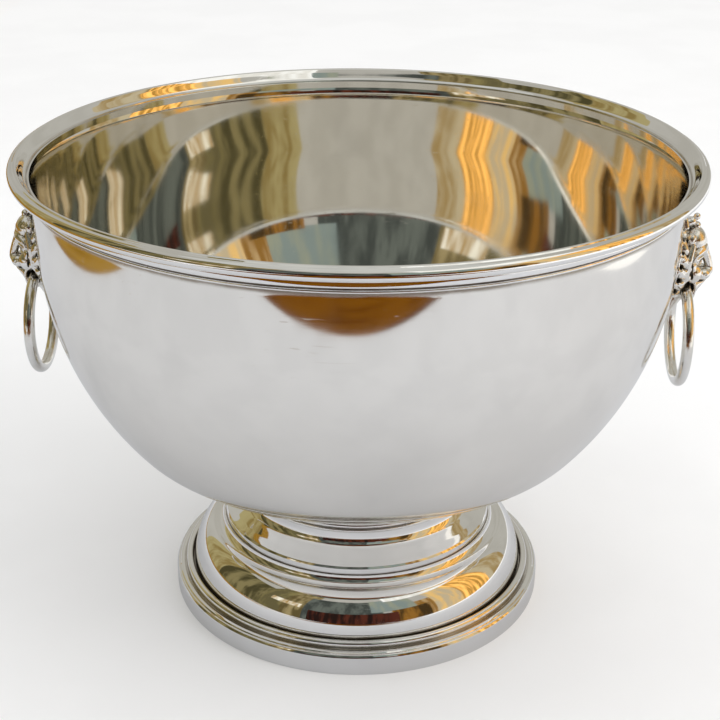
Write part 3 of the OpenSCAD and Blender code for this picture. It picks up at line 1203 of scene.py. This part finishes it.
    def mane(self, clay: Clay) -> None:
        """Sets the cheek folds and two rows of locks round the face, then the beard and the crown."""
        for k in range(7):
            self.lock(clay, -48 + 21.0 * k, 0.80, 1.26, 3.6, 2.8, 14)
        for k in range(6):
            self.lock(clay, -34 + 21.0 * k, 0.70, 1.06, 7.4, 2.5, -12)
        cheek_fold = [(0.2, 10.8, 25.0), (-1.6, 13.2, 18.0), (-2.4, 13.0, 10.0), (-3.8, 10.6, 3.0)]
        clay.strand(cheek_fold, [1.3, 1.7, 1.7, 1.1], 0.35)
        for y, turn in ((0.0, 0.0), (2.6, 1.2), (5.0, 3.0)):
            line = [
                (self.wall_x(y, z) + out, max(y + turn * share - 0.45 * y * share, 0), z)
                for z, out, share in (
                    (-4, 5.2, 0), (-9.5, 3.6, 0.5), (-14.5, 2.1, 0.8), (-20.5 + 1.3 * y, 1.0, 1)
                )
            ]
            clay.strand(line, [2.9, 2.3, 1.6, 0.6], 0.35)
        clay.strand([(-3.5, 0, 33.0), (0.0, 0, 34.2), (2.0, 0, 35.6)], [3.4, 2.6, 1.1], 0.8)
        clay.egg((2.7, 0, 37.0), (1.8, 1.8, 1.8), 0.25)
        clay.egg((3.2, 0, 32.4), (1.9, 2.3, 1.9), 0.25)
        clay.strand([(-3.0, 4.6, 32.5), (-3.6, 3.8, 36.0), (-4.2, 1.8, 38.6)], [1.6, 1.4, 0.7], 0.3)

    def fitted(self, clay: Clay) -> None:
        """Cuts the seat on the bowl, the bore that the ring turns in and the room that it swings through."""
        depth = np.maximum(clay.depth, -(self.off_wall(clay) + 0.4))
        thick = self.wire + self.room
        sag = self.ring_middle - np.sqrt(self.ring_middle**2 - clay.y**2)
        turn = np.clip(np.arctan2(clay.x, -clay.z), -math.radians(self.ring_in), math.radians(self.ring_out))
        bore = np.sqrt((clay.x - sag * np.sin(turn)) ** 2 + (clay.z + sag * np.cos(turn)) ** 2)
        depth = np.maximum(depth, thick - bore)
        lean = math.radians(self.ring_in)
        over = clay.z
        inward = -(clay.x * math.cos(lean) - clay.z * math.sin(lean))
        wedge = np.where(
            (over > 0) & (inward > 0), np.sqrt(clay.x**2 + clay.z**2), np.maximum(over, inward)
        )
        swept = np.maximum(wedge - thick, self.jaw - clay.y)
        clay.depth = np.maximum(depth, -swept)

    def build(self, side: Side, finish: bpy.types.Material) -> bpy.types.Object:
        """Sculpts and dresses one mask.

        Args:
            side: The side that it stands on.
            finish: Its material.

        Returns:
            The mask.
        """
        clay = Clay((-17, 0, -24), (16, 22, 42), self.pitch)
        self.plate(clay)
        clay.shift = np.array(self.face)
        self.skull(clay)
        self.mane(clay)
        self.features(clay)
        self.fitted(clay)
        depth, corner = clay.both_halves()
        depth = 0.6 * depth + 0.4 * softened(depth, 1)
        points, quads, grid = skinned(depth, corner, self.pitch)
        around = softened(np.clip(depth, -2.5, 2.5), 3)
        where = tuple(np.clip(np.round(grid).astype(int).T, 0, np.array(depth.shape)[:, None] - 1))
        # How deep each point lies in a hollow of the sculpt; the cast finish paints these dark, partly as
        # deposit and partly as painted shade.
        hollow = np.clip(-around[where] * 2.6 + 0.15, 0, 1)
        # The open mouth is a tall oval, a little behind and above the hinge axis, with painted shade inside
        mouth = ((points[:, 0] + 0.5) / 3.4) ** 2 + ((points[:, 2] - 0.6) / 5.0) ** 2
        hollow = np.maximum(hollow, np.clip(4.0 * (1.25 - mouth), 0, 1) * (np.abs(points[:, 1]) < 8.0))
        points = (points + np.array([self.hinge_r, 0, self.hinge_z])) * MM
        mesh = as_mesh("lion_mask_" + side.label, points, quads, None)
        mesh.transform(side.turn)
        mark(mesh, "hollow", hollow)
        mask = new_object("lion_mask_" + side.label, mesh)
        settle(mask, Body.VESSEL, Slot.CAST, finish, "mask_" + side.label)
        return mask


@dataclass
class DropRing:
    """A plain drop ring of round wire, a little uneven in thickness."""

    hinge: Vector
    across: float = 58.0
    wire: float = 5.7
    steps: int = 192
    sides: int = 40

    def build(self, side: Side, body: Body, finish: bpy.types.Material) -> bpy.types.Object:
        """Bends the wire into its ring and dresses it.

        Args:
            side: The side that it hangs on.
            body: The body that it rides on.
            finish: Its material.

        Returns:
            The ring.
        """
        middle = (self.across - self.wire) / 2
        u = np.arange(self.steps)[:, None] * 2 * math.pi / self.steps
        v = np.arange(self.sides)[None, :] * 2 * math.pi / self.sides
        # The top of the ring, where it runs into the mask, is marked for painted shade.
        top = np.exp(-(((u - math.pi) / 0.32) ** 2))
        thick = self.wire / 2 * (1 - 0.008 * (1 + np.sin(3 * u))) + 0 * v
        r = middle + thick * np.cos(v)
        points = np.stack([
            self.hinge.x / MM + thick * np.sin(v),
            r * np.sin(u),
            self.hinge.z / MM - middle - r * np.cos(u),
        ], -1).reshape(-1, 3)
        faces = [
            (
                i * self.sides + j,
                (i + 1) % self.steps * self.sides + j,
                (i + 1) % self.steps * self.sides + (j + 1) % self.sides,
                i * self.sides + (j + 1) % self.sides,
            )
            for i in range(self.steps)
            for j in range(self.sides)
        ]
        mesh = as_mesh("drop_ring_" + side.label, points * MM, faces, None)
        mesh.transform(side.turn)
        # Painted shade at the top of the ring, where it runs into the mask.
        mark(mesh, "hollow", np.repeat(top[:, 0] * 0.5, self.sides))
        ring = new_object("drop_ring_" + side.label, mesh)
        settle(ring, body, Slot.CAST, finish, "ring_" + side.label)
        return ring


# --------------------------------------------------------------------------- studio


def only_reflected(card: bpy.types.Object) -> None:
    """Marks a studio card that shows in reflections and nowhere else.

    Args:
        card: The card.
    """
    for ray in ("camera", "diffuse", "shadow", "transmission", "volume_scatter"):
        setattr(card, "visible_" + ray, False)


@dataclass(frozen=True)
class Panel:
    """A curved panel of the room round the bucket, seen only in reflections.

    Azimuth runs from the front (-Y) towards +X, and elevation is above the table, both in degrees.
    The colours are the light that it gives.
    """

    name: str
    azimuth: tuple[float, float]
    elevation: tuple[float, float]
    colour: tuple[float, float, float]
    second: tuple[float, float, float]
    away: float = 3.0
    stripes: float = 9.0
    rise: float = 1.5

    def build(self) -> None:
        """Sets the panel up."""
        first, last = self.azimuth
        steps = max(2, math.ceil((last - first) / 5))
        points = [
            (self.away * math.sin(a), -self.away * math.cos(a), 0.15 + self.away * math.tan(math.radians(e)))
            for e in self.elevation
            for a in np.radians(np.linspace(first, last, steps + 1))
        ]
        faces = [(i, i + 1, i + steps + 2, i + steps + 1) for i in range(steps)]
        mesh = bpy.data.meshes.new(self.name)
        mesh.from_pydata(points, [], faces)
        scale = (self.stripes / self.away, self.stripes / self.away, self.rise / self.away)
        mesh.materials.append(Plain(self.name, self.colour, self.second, True, scale).paint())
        only_reflected(new_object(self.name, mesh))


@dataclass(frozen=True)
class Sheet:
    """A flat sheet of the studio, level, at a height in metres."""

    name: str
    low: tuple[float, float]
    high: tuple[float, float]
    at: float
    finish: Plain
    reflected_only: bool = True

    def build(self) -> None:
        """Lays the sheet."""
        (x0, y0), (x1, y1) = self.low, self.high
        mesh = bpy.data.meshes.new(self.name)
        corners = [(x, y, self.at) for x, y in ((x0, y0), (x1, y0), (x1, y1), (x0, y1))]
        mesh.from_pydata(corners, [], [(0, 1, 2, 3)])
        mesh.materials.append(self.finish.paint())
        sheet = new_object(self.name, mesh)
        if self.reflected_only:
            only_reflected(sheet)


@dataclass
class Studio:
    """Pale floor, soft light, reflection cards and the camera."""

    lens: float = 72.05
    camera_back: float = 689.2
    camera_side: float = 1.1
    camera_high: float = 441.7
    pitch: float = 24.47
    roll: float = 0.39
    azimuth: float = 2.0
    sky: float = 1.0
    lamp_at: tuple[float, float, float] = (1.6, -0.8, 1.5)

    def table(self) -> None:
        """Lays the pale floor, and over it the cloth and the wood that only the silver shows."""
        pale = Plain("pale_floor", (0.92, 0.92, 0.92), (0.90, 0.90, 0.90))
        cloth = Plain("cloth", (0.59, 0.60, 0.63), (0.565, 0.575, 0.605), scale=(7.0, 7.0, 7.0))
        wood = Plain("table_wood", (0.20, 0.075, 0.006), (0.11, 0.036, 0.003), True, (5.0, 60.0, 1.0))
        golden = Plain("golden_wood", (0.38, 0.22, 0.04), (0.28, 0.15, 0.02), True, (50.0, 4.0, 1.0))
        for sheet in (
            Sheet("floor", (-6, -6), (6, 6), 0.0, pale, False),
            Sheet("cloth", (-0.615, -0.555), (0.63, 0.66), 0.0004, cloth),
            Sheet("wood_front", (-0.6, -3), (0.6, -0.555), 0.0006, wood),
            Sheet("wood_left", (-3, -0.6), (-0.61, 3), 0.0008, golden),
        ):
            sheet.build()

    def room(self) -> None:
        """Sets up the walls, windows and dark furniture that the silver shows."""
        for panel in (
            Panel("wall", (-180, 180), (-6, 80), (0.47, 0.455, 0.41), (0.43, 0.415, 0.37), 3.4, 3.0),
            Panel("left_warm", (-130, -98), (-4, 52), (0.40, 0.34, 0.16), (0.25, 0.18, 0.06)),
            Panel("left_dark", (-102, -64), (-4, 42), (0.07, 0.06, 0.025), (0.24, 0.20, 0.09), 2.9),
            Panel("left_dim", (-66, -48), (-4, 60), (0.13, 0.11, 0.05), (0.24, 0.20, 0.08)),
            Panel("left_front", (-50, -28), (-4, 60), (0.12, 0.09, 0.035), (0.34, 0.27, 0.13)),
            Panel("left_lamp", (-58, -36), (18, 26), (0.95, 0.90, 0.74), (0.40, 0.24, 0.06), 2.8, 14.0),
            Panel("front_teal", (-34, 20), (-4, 48), (0.055, 0.062, 0.055), (0.13, 0.145, 0.125), 2.9),
            Panel("front_pale", (12, 44), (20, 50), (0.23, 0.28, 0.26), (0.31, 0.33, 0.25), 2.8),
            Panel("front_low", (-30, 30), (-4, 17), (0.02, 0.01, 0.008), (0.09, 0.025, 0.015), 2.7, 14.0),
            Panel("brown", (26, 52), (-4, 21), (0.06, 0.035, 0.012), (0.30, 0.14, 0.025), 2.75, 16.0),
            Panel("amber_dim", (44, 62), (-4, 32), (0.28, 0.14, 0.03), (0.50, 0.34, 0.16), 2.85, 16.0),
            Panel("cream", (56, 84), (-4, 46), (0.56, 0.46, 0.30), (0.85, 0.55, 0.20), 2.8, 12.0),
            Panel("amber", (76, 100), (-4, 46), (0.50, 0.26, 0.05), (1.50, 0.78, 0.20), 2.7, 22.0),
            Panel("right_warm", (98, 122), (-4, 46), (0.54, 0.46, 0.30), (0.36, 0.25, 0.10), 2.85, 12.0),
            Panel("window", (24, 108), (46, 68), (1.05, 1.05, 1.0), (0.85, 0.83, 0.76), 2.6),
        ):
            panel.build()
        ceiling = Plain("ceiling", (0.60, 0.60, 0.56), (0.52, 0.52, 0.49), True, (1.0, 1.0, 1.0))
        Sheet("ceiling", (-4, -4), (4, 4), 6.0, ceiling).build()

    def light(self) -> None:
        """Sets the soft overall light and a soft lamp from the right."""
        world = bpy.data.worlds.new("soft_light")
        world.use_nodes = True
        back = world.node_tree.nodes["Background"]
        back.inputs["Color"].default_value = (1.0, 1.0, 1.0, 1.0)
        back.inputs["Strength"].default_value = self.sky
        bpy.context.scene.world = world
        data = bpy.data.lights.new("soft_lamp", "AREA")
        data.size, data.energy = 1.2, 12.0
        lamp = bpy.data.objects.new("soft_lamp", data)
        lamp.location = Vector(self.lamp_at)
        lamp.rotation_euler = Vector(self.lamp_at).to_track_quat("Z", "Y").to_euler()
        lamp.visible_glossy = lamp.visible_camera = False
        bpy.context.scene.collection.objects.link(lamp)

    def camera(self) -> None:
        """Sets up the camera."""
        data = bpy.data.cameras.new("camera")
        data.lens, data.sensor_width = self.lens, 36.0
        data.clip_start, data.clip_end = 0.01, 50.0
        camera = bpy.data.objects.new("camera", data)
        bpy.context.scene.collection.objects.link(camera)
        place = Matrix.Translation(Vector((self.camera_side, -self.camera_back, self.camera_high)) * MM)
        tilt = Matrix.Rotation(math.radians(90 - self.pitch), 4, "X")
        tilt = tilt @ Matrix.Rotation(math.radians(self.roll), 4, "Z")
        camera.matrix_world = Matrix.Rotation(math.radians(self.azimuth), 4, "Z") @ place @ tilt
        bpy.context.scene.camera = camera

    def build(self) -> None:
        """Sets up everything."""
        self.table()
        self.room()
        self.light()
        self.camera()
        scene = bpy.context.scene
        scene.view_settings.view_transform = "Standard"
        scene.cycles.glossy_bounces = 10


def main() -> None:
    """Builds the bucket round the frame and sets up the studio."""
    logging.basicConfig(level=logging.INFO, format="%(name)s %(message)s")
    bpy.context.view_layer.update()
    Studio().build()
    bowl = Bowl()
    Vessel(bowl, Rim(bowl), Foot(bowl)).build()
    hinge = Vector(next(j for j in frame["joints"] if j["name"] == "ring_right_swing")["pos_m"])
    cast = CastSilver("mask_silver").paint()
    drawn = CastSilver("ring_silver", gloss=0.09).paint()
    for side, body in ((Side.RIGHT, Body.RING_RIGHT), (Side.LEFT, Body.RING_LEFT)):
        LionMask(bowl, hinge).build(side, cast)
        DropRing(hinge).build(side, body, drawn)


if __name__ == "__main__":
    main()
